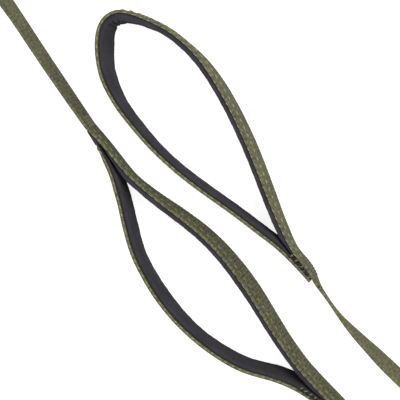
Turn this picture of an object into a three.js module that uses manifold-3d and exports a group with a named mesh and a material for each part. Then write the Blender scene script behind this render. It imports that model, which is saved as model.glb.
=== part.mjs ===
// Flat web sling: a padded two-loop webbing strap with a swivel bolt snap, in millimetres, +Z up.
// The webbing stands on its long edge on the floor. +X runs along the sling towards the snap, and
// +Y from the end loop towards the middle loop. The origin is under the middle of the sling, on the
// floor, the put-away length of strap left out.

import * as THREE from 'three';
import { mergeVertices } from 'three/addons/utils/BufferGeometryUtils.js';
import Module from 'manifold-3d';

const wasm = await Module();
wasm.setup();

// ---------------------------------------------------------------- driving dimensions

const WEB_WIDTH = 25;          // one-inch webbing
const WEB_THICKNESS = 2.2;
const PAD_WIDTH = 23;          // the padding is cut a little narrower than the web
const PAD_THICKNESS = 3.2;
const PAD_SEWN = 1.1;          // padding squeezed between two sewn webs
const PAD_CLAMPED = 0.5;       // and where their stitching ends
const GAP = 0.3;               // between pieces that touch
const THREAD = 0.5;            // how far a stitch row stands off the web
const ROW_WIDTH = 0.9;
const ROW_HEIGHT = 6;          // a stitch row, over the middle of the web
const BAR_SIDES = 16;
const FRAME_CENTRE = [58.2, 1.3];    // the origin, seen from the point that the routes are measured from

const EYE_X = 236;             // the upright bar that the tail of the web folds round
const EYE_Y = 17.5;
const EYE_Z = 16.8;            // height of the swivel axis
const EYE_ROD = 1.8;           // radius of the eye's bar and rails
const EYE_INSIDE = WEB_WIDTH + 0.8;
const FOLD_RADIUS = EYE_ROD + GAP + WEB_THICKNESS / 2;
const EYE_LIFT = EYE_Z - WEB_WIDTH / 2;

const COIL_X = -259.75;        // middle of the put-away coil of strap
const COIL_Y = 5.25;
const COIL_RADIUS = 47;
const COIL_HOLE = 5;

// ---------------------------------------------------------------- colours

const finish = (color, roughness, metalness = 0) => ({ color, roughness, metalness });
const OLIVE_WEB = finish(0x5d5d41, 0.85);
const BLACK_PAD = finish(0x2a2930, 0.95);
const LIGHT_THREAD = finish(0x9a9a78, 0.8);
const OLIVE_THREAD = finish(0x6c6a4c, 0.8);
const BLACK_THREAD = finish(0x1b1b1d, 0.8);
const CAST_METAL = finish(0x8c8f92, 0.35, 0.9);
const BRIGHT_METAL = finish(0xb4b7ba, 0.25, 1);

// ---------------------------------------------------------------- routes
// Each point is [x, y, lean, lift]: the middle of the web seen from above, how many degrees its top
// edge leans to the left of the way it runs, and how far its lower edge is off the floor.

const FLAP = [
  [197, 17.2, 0, 2.4], [205, 16.6, 0, 3.3], [214, 16.3, 0, 3.9], [222, 16.2, 0, EYE_LIFT],
  [229.5, 15.1, 0, EYE_LIFT],
];
const FOLD = [-90, -45, 0, 45, 90].map((degrees) => {
  const angle = THREE.MathUtils.degToRad(degrees);
  return [EYE_X + FOLD_RADIUS * Math.cos(angle), EYE_Y + FOLD_RADIUS * Math.sin(angle), 0, EYE_LIFT];
});
const TAIL = [
  [229.5, 19.9, 0, EYE_LIFT], [222, 18.8, 0, EYE_LIFT], [214, 18.9, 0, 3.9], [205, 19.4, 0, 3.3],
  [197, 20, -1.2, 2.4], [186, 20.8, -3.2, 1], [176, 21.5, -1.4, 0.2], [166, 22.2, -0.3, 0],
  [140, 24.4, 0, 0], [113, 26.3, 1, 0], [98, 27.3, 2, 0], [91, 27.7, 2.5, 0], [84, 28.1, 3.2, 0],
];
const MIDDLE_MAIN = [
  [82, 28, 3.5, 0], [76, 27.4, 4.8, 0], [72, 27.1, 5.4, 0], [70.5, 27, 5.6, 0], [66, 26.8, 6, 0],
  [60, 26.7, 6.4, 0], [53, 26.6, 7, 0], [47, 26.5, 7.4, 0], [40, 26.1, 8, 0],
  [33.5, 24.8, 8, 0], [27, 23.3, 7, 0], [20, 21.6, 5.5, 0], [7, 17.6, 3, 0],
  [-6, 13.8, 1.5, 0], [-19, 10.6, 0, 0], [-32.5, 8.7, -1.5, 0], [-46, 7.9, -3, 0],
  [-59, 8.1, -4.2, 0], [-72, 8.9, -4.7, 0], [-86, 10.6, -4.4, 0], [-99, 12.2, -3.9, 0],
  [-112, 13.3, -2.8, 0], [-125, 13.8, -2.5, 0], [-132, 13.6, -2.2, 0], [-139, 13.1, -2, 0],
  [-145, 12.5, -2, 0], [-152, 11.8, -2, 0], [-158, 11.1, -2, 0], [-166, 10.1, -1, 0],
  [-174, 8.9, 0, 0], [-182, 7.6, 0, 0],
];
const MIDDLE_SECOND = [
  [70.5, 31, 5.6, 0], [65, 31.9, 6, 0], [60, 32.9, 6, 0], [53, 34.5, 5.5, 0], [47, 36.2, 4.4, 0],
  [40, 39, 3, 0], [33.5, 41.6, 2.5, 0], [27, 44.6, 2, 0], [20, 48.1, 1.5, 0],
  [13.5, 51.1, 1.5, 0], [7, 54.1, 2, 0], [0.5, 56.7, 3, 0], [-6, 58.8, 3.8, 0],
  [-19, 61.3, 3.4, 0], [-32.5, 62.7, 2.5, 0], [-46, 63, 3, 0], [-59, 62.1, 4.2, 0],
  [-72, 59.9, 5, 0], [-86, 55.7, 3.5, 0], [-99, 50.2, 1.6, 0], [-106, 46.2, 0.8, 0],
  [-112, 41.8, -0.5, 0], [-119, 35.8, -2, 0], [-125, 31.2, -2.5, 0], [-132, 27, -2.2, 0],
  [-139, 23.6, -2, 0], [-145, 21.4, -2, 0], [-152, 18.8, -2, 0], [-158, 16.6, -2, 0],
  [-166, 12.9, -1, 0], [-178, 10.9, 0, 0],
];
const STRAP_TO_END_LOOP = [
  [-243, -40.1, 0, 0], [-231, -39.7, 0, 0], [-215, -38.6, 0, 0], [-200, -36.8, 2.5, 0],
  [-185, -34.7, 4.2, 0], [-174, -33, 4.5, 0], [-164, -31.5, 4.5, 0], [-157, -30.5, 3.4, 0],
  [-150, -29.6, 2, 0], [-144, -28.8, -0.5, 0], [-137, -27.9, -2.7, 0], [-131, -27.2, -5, 0],
  [-124, -26.6, -8, 0], [-118, -26.3, -11, 0], [-111, -26.4, -12.5, 0], [-104.5, -26.8, -13, 0],
  [-98, -27.3, -12.3, 0],
];
const END_LOOP = [
  [-92, -27.8, -9.8, 0], [-87, -29, -6, 0], [-80, -30.2, -5, 0], [-76, -30.3, -5.2, 0],
  [-72, -30.3, -5.6, 0], [-65, -30.1, -6, 0], [-58.5, -31.2, -5, 0], [-52, -32.8, -4, 0],
  [-45.5, -34.4, -3, 0], [-39, -36.3, -2.3, 0], [-26, -40.3, -0.5, 0], [-6, -46.7, 0, 0],
  [13.5, -52.2, 0, 0],
  [33, -56.5, -1, 0], [46, -58.6, -1.5, 0], [59, -59.9, -3.4, 0], [72, -60, -6, 0],
  [85, -58.3, -9, 0], [98, -55.2, -8.5, 0], [105, -52.3, -7.5, 0], [112, -48.9, -7, 0],
  [118.5, -45.3, -7, 0], [124.4, -41.1, -7, 0], [128.8, -36.3, -7, 0], [130.5, -30, -7, 0],
  [129.2, -23.8, -7, 0], [125.1, -18, -8, 0], [118.7, -12.3, -8.5, 0], [112.2, -7.4, -6, 0],
  [106, -3.2, -2, 0], [99.5, -0.4, 0, 0], [93, 1.5, 2, 0], [86, 3, 4.2, 0], [79.5, 3.8, 5.2, 0],
  [73, 4.1, 6.3, 0], [60, 4, 7, 0], [46.5, 3.3, 8.3, 0], [33.5, 1.5, 9, 0], [20, -1.3, 8.3, 0],
  [7, -4.9, 8, 0], [-6, -8.8, 8, 0], [-19, -12.9, 8, 0], [-32.5, -16.6, 7.7, 0],
  [-45.5, -20.1, 7.5, 0], [-52, -22, 7.2, 0], [-58.5, -23.4, 7, 0], [-65, -24.4, 7, 0],
  [-72, -25.2, 7, 0], [-76, -25.6, 7, 0], [-80, -26, 6.6, 0], [-86, -26.4, 6, 0],
];
const STRAP_FROM_MIDDLE_LOOP = [
  [-190, 5.6, 0, 0], [-200, 1.2, 0, 0], [-210, -6, 0, 0],
  [-220, -15.9, 0, 0],
];

// Padding thickness against x: squeezed under the stitching where a loop closes, full beyond it.
// The main padding swells again beyond the end of the second web, where nothing squeezes it. The
// end loop's padding bunches up in the tight bend, where its thickness goes by y instead.
const PAD_ON_MAIN_WEB = [
  [-158, PAD_SEWN], [-152, 1.7], [-145, 2.6], [-139, 3], [-125, 3], [-99, 3], [-60, 3.5],
  [-30, PAD_THICKNESS], [40, PAD_THICKNESS], [47, 2.7], [53, 1.9], [60, 1.3], [66, PAD_CLAMPED],
  [70.5, PAD_CLAMPED], [70.6, 3.1], [74, 2.5], [76, 2.1], [79, 1.4], [82, PAD_CLAMPED],
];
const PAD_ON_SECOND_WEB = [
  [-158, PAD_SEWN], [-152, 1.7], [-145, 2.2], [-139, 2.5], [-119, 2.5], [-99, 3],
  [-86, PAD_THICKNESS], [40, PAD_THICKNESS], [47, 2.7], [53, 1.9], [60, 1.3], [66, PAD_CLAMPED],
];
const PAD_IN_END_LOOP = [
  [-76, PAD_CLAMPED], [-72, 0.7], [-65, PAD_SEWN], [-58.5, 2], [-52, PAD_THICKNESS],
];
const BEND_START = 100;
const PAD_ROUND_BEND = [
  [-53, PAD_THICKNESS], [-47, 4.2], [-41, 5.2], [-34, 5.4], [-28, 4.4], [-23, 3.2], [-16, 2.5],
  [-7, 2.5], [-1, PAD_THICKNESS],
];

// ---------------------------------------------------------------- geometry helpers

function interpolate(pairs, x) {
  if (x <= pairs[0][0]) return pairs[0][1];
  for (let i = 1; i < pairs.length; i += 1) {
    const [x0, y0] = pairs[i - 1];
    const [x1, y1] = pairs[i];
    if (x <= x1) return THREE.MathUtils.mapLinear(x, x0, x1, y0, y1);
  }
  return pairs.at(-1)[1];
}

// Cross-sections of an upright web along its route. Each has its middle, the way it runs, the way
// its left face looks and the way up its width. Only the part of the route between two of its
// points is walked, in a few steps for each point.
function walk(route, { from = 0, to = route.length - 1, steps = 2 } = {}) {
  const plan = new THREE.CatmullRomCurve3(
    route.map(([x, y]) => new THREE.Vector3(x, y, 0)), false, 'centripetal');
  const last = route.length - 1;
  const sections = [];
  for (let i = 0; i <= (to - from) * steps; i += 1) {
    const place = from + i / steps;
    const before = Math.min(Math.floor(place), last - 1);
    const share = place - before;
    const lean = THREE.MathUtils.degToRad(
      THREE.MathUtils.lerp(route[before][2], route[before + 1][2], share));
    const lift = THREE.MathUtils.lerp(route[before][3], route[before + 1][3], share);
    const ahead = plan.getTangent(place / last);
    const left = new THREE.Vector3(-ahead.y, ahead.x, 0);
    const up = new THREE.Vector3(0, 0, Math.cos(lean)).addScaledVector(left, Math.sin(lean));
    const side = left.clone().multiplyScalar(Math.cos(lean)).setZ(-Math.sin(lean));
    const middle = plan.getPoint(place / last);
    middle.z = lift + (WEB_WIDTH / 2) * Math.cos(lean)
      + (WEB_THICKNESS / 2) * Math.abs(Math.sin(lean));
    sections.push({ middle, ahead, side, up });
  }
  sections[0].middle.addScaledVector(sections[0].ahead, GAP / 2);
  sections.at(-1).middle.addScaledVector(sections.at(-1).ahead, -GAP / 2);
  return sections;
}

const pointIndex = (route, x, start = 0) => route.findIndex((p, i) => i >= start && p[0] === x);

// A closed band through the sections. right and left are its two faces, measured to the left of the
// web's middle plane, and low and high its two edges, measured up from the middle of the width.
function band(sections, { low, high, right, left }) {
  const value = (size, section) => (typeof size === 'function' ? size(section) : size);
  const corners = [];
  for (const section of sections) {
    for (const [across, along] of [[right, low], [left, low], [left, high], [right, high]]) {
      corners.push(section.middle.clone()
        .addScaledVector(section.side, value(across, section))
        .addScaledVector(section.up, value(along, section)));
    }
  }
  const index = [0, 2, 1, 0, 3, 2];
  for (let i = 0; i + 1 < sections.length; i += 1) {
    for (let k = 0; k < 4; k += 1) {
      const a = 4 * i + k;
      const b = 4 * i + (k + 1) % 4;
      index.push(a, b, a + 4, b, b + 4, a + 4);
    }
  }
  const end = 4 * (sections.length - 1);
  index.push(end, end + 1, end + 2, end, end + 2, end + 3);
  const geometry = new THREE.BufferGeometry().setFromPoints(corners);
  geometry.setIndex(index);
  geometry.computeVertexNormals();
  return geometry;
}

const web = (sections) => band(sections, {
  low: -WEB_WIDTH / 2, high: WEB_WIDTH / 2, right: -WEB_THICKNESS / 2, left: WEB_THICKNESS / 2,
});

// Padding against one face of a web: side is 1 for the left face and -1 for the right, and
// thickness goes by the place.
function pad(sections, side, thickness) {
  const near = side * (WEB_THICKNESS / 2 + GAP);
  const far = ({ middle }) => near + side * thickness(middle);
  const faces = side > 0 ? { right: near, left: far } : { right: far, left: near };
  return band(sections, { low: -PAD_WIDTH / 2, high: PAD_WIDTH / 2, ...faces });
}

// Thread on one face of a web: a row or a patch, between two heights.
function thread(sections, side, low, high) {
  const near = side * (WEB_THICKNESS / 2 + GAP);
  const far = near + side * THREAD;
  return band(sections, { low, high, right: Math.min(near, far), left: Math.max(near, far) });
}

function toSolid(geometry) {
  const bare = geometry.clone();
  bare.deleteAttribute('normal');
  bare.deleteAttribute('uv');
  const merged = mergeVertices(bare);
  return new wasm.Manifold(new wasm.Mesh({
    numProp: 3,
    vertProperties: Float32Array.from(merged.attributes.position.array),
    triVerts: Uint32Array.from(merged.index.array),
  }));
}

function toGeometry(solid) {
  const mesh = solid.getMesh();
  const geometry = new THREE.BufferGeometry();
  geometry.setAttribute('position', new THREE.BufferAttribute(mesh.vertProperties, 3));
  geometry.setIndex(new THREE.BufferAttribute(mesh.triVerts, 1));
  geometry.computeVertexNormals();
  return geometry;
}

const join = (geometries) => geometries.map(toSolid).reduce((a, b) => a.add(b));
const cut = (solid, geometries) => geometries.map(toSolid).reduce((a, b) => a.subtract(b), solid);

// A turned piece about the X axis from [x, radius] pairs, closed onto the axis at both ends.
function turned(profile, segments = 24) {
  const outline = [[profile[0][0], 0], ...profile, [profile.at(-1)[0], 0]];
  const points = outline.map(([x, radius]) => new THREE.Vector2(radius, x));
  return new THREE.LatheGeometry(points, segments).rotateZ(-Math.PI / 2);
}

// A turned ring about the X axis, from one x to another.
function ring(x0, x1, inner, outer, segments = 24) {
  const corners = [[x0, inner], [x0, outer], [x1, outer], [x1, inner], [x0, inner]];
  const points = corners.map(([x, radius]) => new THREE.Vector2(radius, x));
  return new THREE.LatheGeometry(points, segments).rotateZ(-Math.PI / 2);
}

// A round bar bent along points in the XZ plane, with a flat of its section on the inside of the bend.
function bentBar(points, radius, steps) {
  const path = new THREE.CatmullRomCurve3(
    points.map(([x, z]) => new THREE.Vector3(x, 0, z)), false, 'centripetal');
  const halfSide = Math.PI / BAR_SIDES;
  const section = new THREE.Shape().absarc(0, 0, radius, halfSide, 2 * Math.PI + halfSide);
  return new THREE.ExtrudeGeometry(section, {
    extrudePath: path, steps, curveSegments: BAR_SIDES / 2,
  });
}

// ---------------------------------------------------------------- the assembly

const sling = new THREE.Group();
sling.position.set(-FRAME_CENTRE[0], -FRAME_CENTRE[1], 0);

function place(name, geometry, look, parent = sling) {
  const mesh = new THREE.Mesh(geometry, new THREE.MeshStandardMaterial(look));
  mesh.name = name;
  parent.add(mesh);
  return mesh;
}

// ---- webbing: one long web from the snap through the middle loop, and the end loop at its far end

const mainRoute = [...FLAP, ...FOLD, ...TAIL, ...MIDDLE_MAIN, ...STRAP_FROM_MIDDLE_LOOP];
const endRoute = [...STRAP_TO_END_LOOP, ...END_LOOP];
const forkIndex = pointIndex(mainRoute, 84);
const mainEnd = pointIndex(mainRoute, -182);
const endLoopStart = pointIndex(endRoute, -92);
const tailSections = walk(mainRoute, { to: forkIndex });
const mainSections = walk(mainRoute, { from: forkIndex, to: mainEnd });
const secondSections = walk(MIDDLE_SECOND);
const endSections = walk(endRoute, { from: endLoopStart });

place('tail_web', web(tailSections), OLIVE_WEB);
place('middle_loop_main_web', web(mainSections), OLIVE_WEB);
place('middle_loop_second_web', web(secondSections), OLIVE_WEB);
place('end_loop_web', web(endSections), OLIVE_WEB);

// ---- padding on the inside of both loops

const MAIN_PAD_START = 82;
const PAD_END = -158;
const mainPadSections = walk(mainRoute, {
  from: pointIndex(mainRoute, MAIN_PAD_START), to: pointIndex(mainRoute, PAD_END),
});
const secondPadSections = walk(MIDDLE_SECOND, { to: pointIndex(MIDDLE_SECOND, PAD_END) });
const END_PAD_START = -76;
const endPadFirst = pointIndex(endRoute, END_PAD_START);
const endPadSections = walk(endRoute, {
  from: endPadFirst, to: pointIndex(endRoute, END_PAD_START, endPadFirst + 1),
});

const byX = (table) => ({ x }) => interpolate(table, x);
const endPadThickness = ({ x, y }) => (
  x < BEND_START ? interpolate(PAD_IN_END_LOOP, x) : interpolate(PAD_ROUND_BEND, y));

place('middle_loop_main_pad', pad(mainPadSections, -1, byX(PAD_ON_MAIN_WEB)), BLACK_PAD);
place('middle_loop_second_pad', pad(secondPadSections, 1, byX(PAD_ON_SECOND_WEB)), BLACK_PAD);
place('end_loop_pad', pad(endPadSections, 1, endPadThickness), BLACK_PAD);

// ---- thread rows that hold the padding, along the upper part of each web's outer face

const row = [ROW_HEIGHT - ROW_WIDTH / 2, ROW_HEIGHT + ROW_WIDTH / 2];
place('middle_loop_main_thread', thread(mainPadSections, 1, ...row), LIGHT_THREAD);
place('middle_loop_second_thread', thread(secondPadSections, -1, ...row), LIGHT_THREAD);
const END_ROW_START = -72;
const endRowFirst = pointIndex(endRoute, END_ROW_START);
const endRowSections = walk(endRoute, {
  from: endRowFirst, to: pointIndex(endRoute, END_ROW_START, endRowFirst + 1),
});
place('end_loop_thread', thread(endRowSections, -1, ...row), LIGHT_THREAD);

// ---- bar tacks where webs are sewn together, on the outer face of the long web

const TACK_HALF_HEIGHT = 9;
const tacks = [
  // name, route, the x that it starts and ends at, the face that it is on, its thread
  ['tack_at_snap', mainRoute, 205, 222, -1, BLACK_THREAD],
  ['tack_at_tail_fork', mainRoute, 91, 82, 1, OLIVE_THREAD],
  ['tack_at_strap_fork', mainRoute, -166, -174, 1, BLACK_THREAD],
  ['tack_at_end_loop', endRoute, -87, -72, -1, OLIVE_THREAD],
];
for (const [name, route, x0, x1, side, look] of tacks) {
  const from = pointIndex(route, x0);
  const sections = walk(route, { from, to: pointIndex(route, x1, from) });
  place(name, thread(sections, side, -TACK_HALF_HEIGHT, TACK_HALF_HEIGHT), look);
}

// ---- strap between the loops: two free stretches and the coil that takes up the rest

const clearOfCoil = ({ middle }) => (
  Math.hypot(middle.x - COIL_X, middle.y - COIL_Y) > COIL_RADIUS + WEB_THICKNESS / 2 + GAP);
const strapRuns = {
  strap_to_end_loop: walk(endRoute, { to: endLoopStart }),
  strap_from_middle_loop: walk(mainRoute, { from: mainEnd }),
};
for (const [name, sections] of Object.entries(strapRuns)) {
  place(name, web(sections.filter(clearOfCoil)), OLIVE_WEB);
}
const coilOutline = [
  [COIL_HOLE, 0], [COIL_RADIUS, 0], [COIL_RADIUS, WEB_WIDTH], [COIL_HOLE, WEB_WIDTH], [COIL_HOLE, 0],
].map(([radius, z]) => new THREE.Vector2(radius, z));
const coilGeometry = new THREE.LatheGeometry(coilOutline, 48).rotateX(Math.PI / 2);
coilGeometry.translate(COIL_X, COIL_Y, 0);
place('strap_coil', coilGeometry, OLIVE_WEB);

// ---- swivel bolt snap. Inside this group X is the swivel axis, with x = 0 at the eye's bar.

const snap = new THREE.Group();
snap.position.set(EYE_X, EYE_Y, EYE_Z);
sling.add(snap);

const BASE_IN = 10;            // inner and outer faces of the eye's base
const BASE_OUT = 14.5;
const BASE_RADIUS = 5.2;
const STUD_RADIUS = 2.5;
const STUD_HOLE = STUD_RADIUS + GAP;
const RAIL_Z = EYE_INSIDE / 2 + EYE_ROD;

// The eye: an upright bar with a rail above and below the web, drawn in to a drilled base.
function swivelEye() {
  const bar = bentBar([[0, -RAIL_Z], [0, RAIL_Z]], EYE_ROD, 1);
  const base = turned([[BASE_IN, BASE_RADIUS - 1], [BASE_IN + 1, BASE_RADIUS],
    [BASE_OUT - 1, BASE_RADIUS], [BASE_OUT, BASE_RADIUS - 1]]);
  const rails = [-1, 1].map((side) => bentBar(
    [[0, side * RAIL_Z], [5, side * RAIL_Z], [9.5, side * (RAIL_Z - 3)], [12.2, side * 7],
      [12.3, side * 3.6]],
    EYE_ROD, 8));
  const corners = [-1, 1].map((side) => (
    new THREE.SphereGeometry(EYE_ROD, 16, 8).translate(0, 0, side * RAIL_Z)));
  return toGeometry(cut(join([bar, base, ...rails, ...corners]), [turned(
    [[BASE_IN - 1, STUD_HOLE], [BASE_OUT + 1, STUD_HOLE]])]));
}
place('swivel_eye', swivelEye(), CAST_METAL, snap);

const WASHER_THICKNESS = 0.8;
const WASHER_X = BASE_IN - GAP - WASHER_THICKNESS;
place('swivel_washer', ring(WASHER_X, WASHER_X + WASHER_THICKNESS, STUD_HOLE, 4.6), BRIGHT_METAL, snap);

// The body of the snap starts at the eye's base. BODY_X is its back face.
const BODY_X = BASE_OUT + GAP;
const STUD_HEAD_X = WASHER_X - GAP;
const STUD_HEAD_THICKNESS = 2;
const STUD_END = BODY_X + 6;
place('swivel_stud', turned([
  [STUD_HEAD_X - STUD_HEAD_THICKNESS, 2.6], [STUD_HEAD_X - 1.2, 4], [STUD_HEAD_X, 4.2],
  [STUD_HEAD_X, STUD_RADIUS], [STUD_END, STUD_RADIUS],
]), BRIGHT_METAL, snap);

const BARREL_Z = 7.5;          // height of the bolt's axis over the swivel axis
const BARREL_RADIUS = 4.3;
const BARREL_BACK = BODY_X + 3;
const BARREL_MOUTH = BODY_X + 28;
const BORE_RADIUS = 2.6;
const BOLT_RADIUS = BORE_RADIUS - GAP;
const BOLT_BACK = BODY_X + 19;
const NOSE_X = BODY_X + 37;
const SEAT_DEPTH = 1.2;
const BOLT_TRAVEL = 8;
const STEM_X = BODY_X + 21.5;
const STEM_RADIUS = 1.5;
const SLOT_HALF_WIDTH = STEM_RADIUS + GAP;
const PLUG_THICKNESS = 2;

// The body: a collar, the barrel that holds the bolt and the hooked bar that comes round to meet it.
function snapBody() {
  const collar = turned([[BODY_X, 5], [BODY_X + 1, 6], [BODY_X + 7, 6], [BODY_X + 9, 4.5]]);
  const barrel = turned([[BARREL_BACK, BARREL_RADIUS - 0.8], [BARREL_BACK + 0.8, BARREL_RADIUS],
    [BARREL_MOUTH - 0.8, BARREL_RADIUS], [BARREL_MOUTH, BARREL_RADIUS - 0.8]])
    .translate(0, 0, BARREL_Z);
  const bar = bentBar([[4, -2.5], [8.5, -7.6], [14, -10.4], [20, -11], [28, -11], [36, -10.2],
    [42.3, -6.2], [45, 0], [44, 5], [40.5, 7.3]].map(([x, z]) => [BODY_X + x, z]), 2.7, 24);
  const nose = turned([[NOSE_X, 3.2], [NOSE_X + 0.8, 3.8], [NOSE_X + 3.2, 3.8], [NOSE_X + 5, 2.4]])
    .translate(0, 0, BARREL_Z);
  const studHole = turned([[BODY_X - 1, STUD_HOLE], [STUD_END + GAP, STUD_HOLE]]);
  const bore = turned([[BARREL_BACK - 1, BORE_RADIUS], [BARREL_MOUTH + 1, BORE_RADIUS]])
    .translate(0, 0, BARREL_Z);
  const seat = turned([[NOSE_X - 1, BORE_RADIUS], [NOSE_X + SEAT_DEPTH, BORE_RADIUS]])
    .translate(0, 0, BARREL_Z);
  const slotLength = BOLT_TRAVEL + 2 * SLOT_HALF_WIDTH;
  const slot = new THREE.BoxGeometry(slotLength, 2 * SLOT_HALF_WIDTH, 2 * BARREL_RADIUS)
    .translate(STEM_X - BOLT_TRAVEL / 2, 0, BARREL_Z + BARREL_RADIUS);
  return toGeometry(cut(join([collar, barrel, bar, nose]), [studHole, bore, seat, slot]));
}
place('snap_body', snapBody(), CAST_METAL, snap);

const plug = turned([[BARREL_BACK, BOLT_RADIUS], [BARREL_BACK + PLUG_THICKNESS, BOLT_RADIUS]]);
place('barrel_plug', plug.translate(0, 0, BARREL_Z), BRIGHT_METAL, snap);

const BOLT_TIP = NOSE_X + SEAT_DEPTH - GAP;
const bolt = turned([[BOLT_BACK, BOLT_RADIUS], [BOLT_TIP - 0.8, BOLT_RADIUS],
  [BOLT_TIP, BOLT_RADIUS - 0.8]]);
place('latch_bolt', bolt.translate(0, 0, BARREL_Z), BRIGHT_METAL, snap);

// The thumb knob is turned about Z: a stem through the slot with a domed cap on it.
function thumbKnob() {
  const foot = BARREL_Z + BOLT_RADIUS + GAP;
  const profile = [[0, foot], [STEM_RADIUS, foot], [STEM_RADIUS, 12.3], [2.9, 12.7], [3, 13.6],
    [2.2, 14.5], [0, 14.8]];
  const knob = new THREE.LatheGeometry(profile.map(([r, z]) => new THREE.Vector2(r, z)), 20);
  return knob.rotateX(Math.PI / 2).translate(STEM_X, 0, 0);
}
place('thumb_knob', thumbKnob(), BRIGHT_METAL, snap);

// The return spring sits in the bore between the plug and the bolt.
function boltSpring() {
  const turns = 8;
  const wire = 0.3;
  const radius = BOLT_RADIUS - wire;
  const back = BARREL_BACK + PLUG_THICKNESS + GAP + wire;
  const front = BOLT_BACK - GAP - wire;
  class Helix extends THREE.Curve {
    getPoint(t, target = new THREE.Vector3()) {
      const angle = 2 * Math.PI * turns * t;
      return target.set(THREE.MathUtils.lerp(back, front, t), radius * Math.cos(angle),
        BARREL_Z + radius * Math.sin(angle));
    }
  }
  const section = new THREE.Shape().absarc(0, 0, wire, 0, 2 * Math.PI);
  return new THREE.ExtrudeGeometry(section, {
    extrudePath: new Helix(), steps: 10 * turns, curveSegments: 3,
  });
}
place('bolt_spring', boltSpring(), BRIGHT_METAL, snap);

export default sling;
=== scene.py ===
"""Flat web sling: its looks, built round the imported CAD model. Metres, +Z up.

The long web is one continuous length, standing on its edge. It folds round the snap's eye, makes
the near side of the middle loop, runs through the put-away coil and closes the end loop. A second
web makes the far side of the middle loop, and both loops are lined with black padding.
"""

import math

import bpy
import numpy as np
from mathutils import Matrix, Vector


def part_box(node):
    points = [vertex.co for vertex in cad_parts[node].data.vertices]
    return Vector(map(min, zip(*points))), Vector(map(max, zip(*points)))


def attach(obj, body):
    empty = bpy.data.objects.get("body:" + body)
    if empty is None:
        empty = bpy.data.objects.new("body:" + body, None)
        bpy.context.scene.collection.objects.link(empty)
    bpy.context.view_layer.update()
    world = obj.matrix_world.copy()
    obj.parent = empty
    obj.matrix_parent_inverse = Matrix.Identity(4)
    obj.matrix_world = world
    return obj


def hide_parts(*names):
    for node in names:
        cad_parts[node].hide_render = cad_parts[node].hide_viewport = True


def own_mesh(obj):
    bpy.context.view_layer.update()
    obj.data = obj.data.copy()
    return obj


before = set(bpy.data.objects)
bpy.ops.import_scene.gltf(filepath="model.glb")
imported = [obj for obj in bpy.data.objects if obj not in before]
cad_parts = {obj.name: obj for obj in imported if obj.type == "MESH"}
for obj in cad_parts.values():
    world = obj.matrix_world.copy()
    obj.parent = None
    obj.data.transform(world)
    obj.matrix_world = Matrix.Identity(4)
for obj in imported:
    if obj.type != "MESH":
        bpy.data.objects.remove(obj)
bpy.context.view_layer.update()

# ---------------------------------------------------------------- driving dimensions

WEB_WIDTH = 0.025
WEB_THICKNESS = 0.0022
PAD_WIDTH = 0.023
PAD_THICKNESS = 0.0032
PAD_SEWN = 0.0011            # padding squeezed between two sewn webs
PAD_CLAMPED = 0.0005         # and where their stitching ends
PAD_GAP = 0.00005            # between a web and its padding
RIB_PITCH = 0.0027           # the web's cross ribs
STITCH_PITCH = 2 * RIB_PITCH
STITCH_LENGTH = 0.0028
STITCH_HEIGHT = 0.006        # the stitch row, over the middle of the web
THREAD_RADIUS = 0.00052
YARN = 0.0011                # width of one lengthwise yarn of the webbing
KNIT = 0.0009                # one knitted loop of the padding
STEP = RIB_PITCH / 6         # between the cross-sections of a web

FRAME_CENTRE = (0.0582, 0.0013)      # where the frame's origin is in the routes' x and y
EYE_CENTRE = (0.236, 0.0175)         # the upright bar that the tail folds round
FOLD_RADIUS = 0.0032
EYE_LIFT = 0.0043
COIL_CENTRE = (-0.255, 0.010)
COIL_PITCH = 0.019           # two strands side by side take this much radius in each turn

# ---------------------------------------------------------------- routes
# Each point is (x, y, lean, lift): the middle of the web seen from above, how many degrees its top
# edge leans to the left of the way it runs, and how far its lower edge is off the floor.

FLAP = [
    (0.197, 0.0172, 0, 0.0024), (0.205, 0.0166, 0, 0.0033), (0.214, 0.0163, 0, 0.0039),
    (0.222, 0.0162, 0, EYE_LIFT), (0.2295, 0.0151, 0, EYE_LIFT),
]
FOLD = [
    (EYE_CENTRE[0] + FOLD_RADIUS * math.cos(math.radians(degrees)),
     EYE_CENTRE[1] + FOLD_RADIUS * math.sin(math.radians(degrees)), 0, EYE_LIFT)
    for degrees in (-90, -45, 0, 45, 90)
]
TAIL = [
    (0.2295, 0.0199, 0, EYE_LIFT), (0.222, 0.0188, 0, EYE_LIFT), (0.214, 0.0189, 0, 0.0039),
    (0.205, 0.0194, 0, 0.0033), (0.197, 0.02, -1.2, 0.0024), (0.186, 0.0208, -3.2, 0.001),
    (0.176, 0.0215, -1.4, 0.0002), (0.166, 0.0222, -0.3, 0), (0.14, 0.0244, 0, 0),
    (0.113, 0.0263, 1, 0), (0.098, 0.0273, 2, 0), (0.091, 0.0277, 2.5, 0), (0.084, 0.0281, 3.2, 0),
]
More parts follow.
